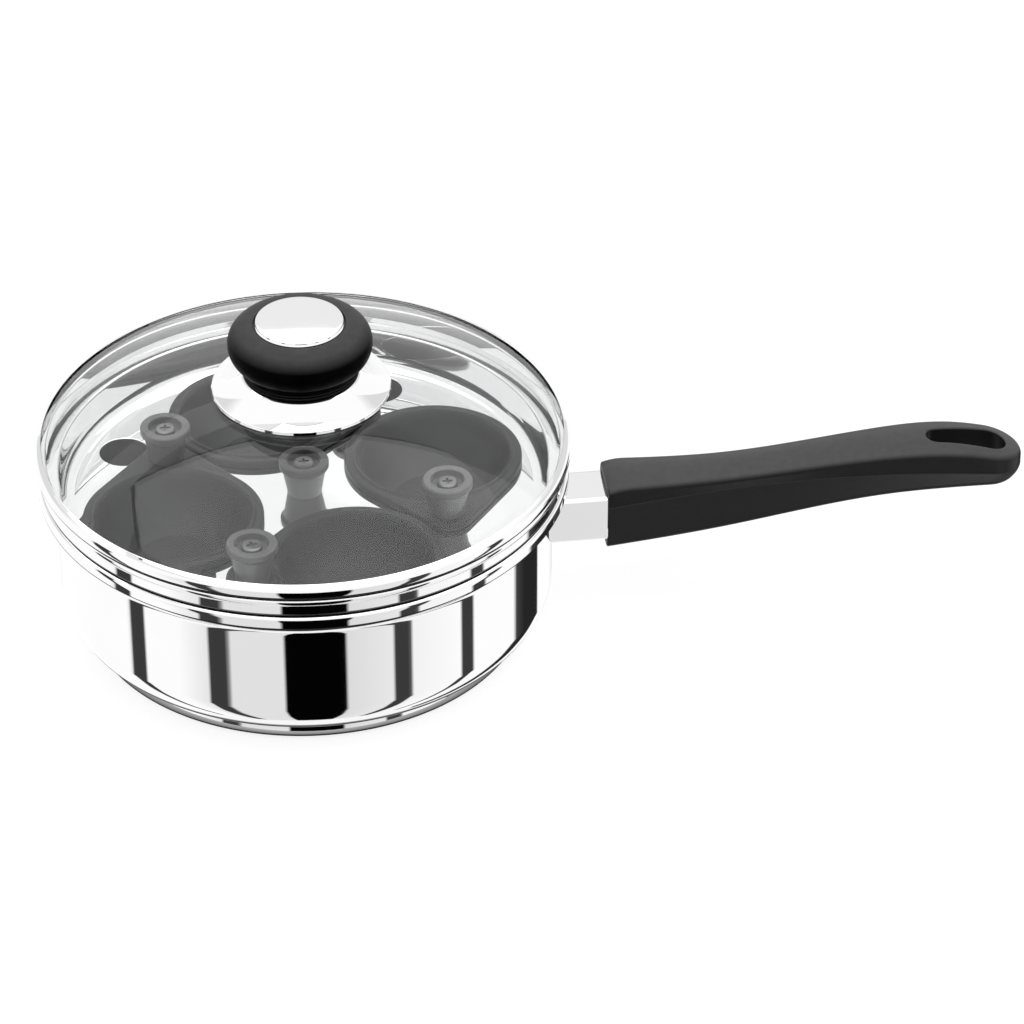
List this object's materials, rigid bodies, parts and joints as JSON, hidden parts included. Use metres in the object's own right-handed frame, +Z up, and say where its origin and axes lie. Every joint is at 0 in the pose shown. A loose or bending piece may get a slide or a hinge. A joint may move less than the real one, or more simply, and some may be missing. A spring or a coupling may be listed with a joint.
{
  "type": "egg poacher pan",
  "caption": "Polished steel egg poacher pan with a black handle, a lift-out tray of non-stick egg cups and a domed glass lid with a mushroom knob.",
  "frame": {"origin": "centre of the pan's base, on the surface it stands on", "axes": "+Z up through the pan and lid, +X along the handle away from the pan, +Y to the left of the handle seen from the pan"},
  "size_m": [0.3853, 0.206, 0.1323],
  "materials": {
    "polished_steel": "mirror polished stainless steel",
    "core_aluminium": "plain",
    "fixing_steel": "plain zinc-plated steel",
    "insert_brass": "plain",
    "silicone": "matte",
    "black_phenolic": "satin with a fine grain",
    "non_stick": "satin non-stick coating",
    "clear_glass": "clear toughened glass"
  },
  "bodies": {
    "pan": {"pan_body": "polished_steel", "base_core": "core_aluminium", "base_cap": "polished_steel", "handle_bracket": "fixing_steel", "handle_ferrule": "polished_steel", "handle_grip": "black_phenolic", "handle_screw": "fixing_steel", "handle_washer": "fixing_steel"},
    "insert": {"insert_plate": "polished_steel", "insert_knob": "black_phenolic", "insert_knob_screw": "fixing_steel", "insert_knob_nut": "fixing_steel"},
    "cup_1": {"egg_cup_1": "non_stick", "cup_knob_1": "black_phenolic", "cup_knob_screw_1": "fixing_steel", "cup_knob_nut_1": "fixing_steel"},
    "cup_2": {"egg_cup_2": "non_stick", "cup_knob_2": "black_phenolic", "cup_knob_screw_2": "fixing_steel", "cup_knob_nut_2": "fixing_steel"},
    "cup_3": {"egg_cup_3": "non_stick", "cup_knob_3": "black_phenolic", "cup_knob_screw_3": "fixing_steel", "cup_knob_nut_3": "fixing_steel"},
    "cup_4": {"egg_cup_4": "non_stick", "cup_knob_4": "black_phenolic", "cup_knob_screw_4": "fixing_steel", "cup_knob_nut_4": "fixing_steel"},
    "lid": {"lid_glass": "clear_glass", "lid_rim": "polished_steel", "lid_flange": "polished_steel", "lid_knob": "black_phenolic", "lid_knob_inlay": "polished_steel", "lid_knob_insert": "insert_brass", "lid_gasket_upper": "silicone", "lid_gasket_lower": "silicone", "lid_washer": "fixing_steel", "lid_screw": "fixing_steel"}
  },
  "joints": [
    {"name": "insert_lift", "type": "slide", "parent": "pan", "child": "insert", "axis": [0, 0, 1], "range_m": [0, 0.09]},
    {"name": "lid_lift", "type": "slide", "parent": "insert", "child": "lid", "axis": [0, 0, 1], "range_m": [0, 0.1]},
    {"name": "cup_1_lift", "type": "slide", "parent": "insert", "child": "cup_1", "axis": [0, 0, 1], "range_m": [0, 0.015]},
    {"name": "cup_2_lift", "type": "slide", "parent": "insert", "child": "cup_2", "axis": [0, 0, 1], "range_m": [0, 0.015]},
    {"name": "cup_3_lift", "type": "slide", "parent": "insert", "child": "cup_3", "axis": [0, 0, 1], "range_m": [0, 0.015]},
    {"name": "cup_4_lift", "type": "slide", "parent": "insert", "child": "cup_4", "axis": [0, 0, 1], "range_m": [0, 0.015]}
  ]
}
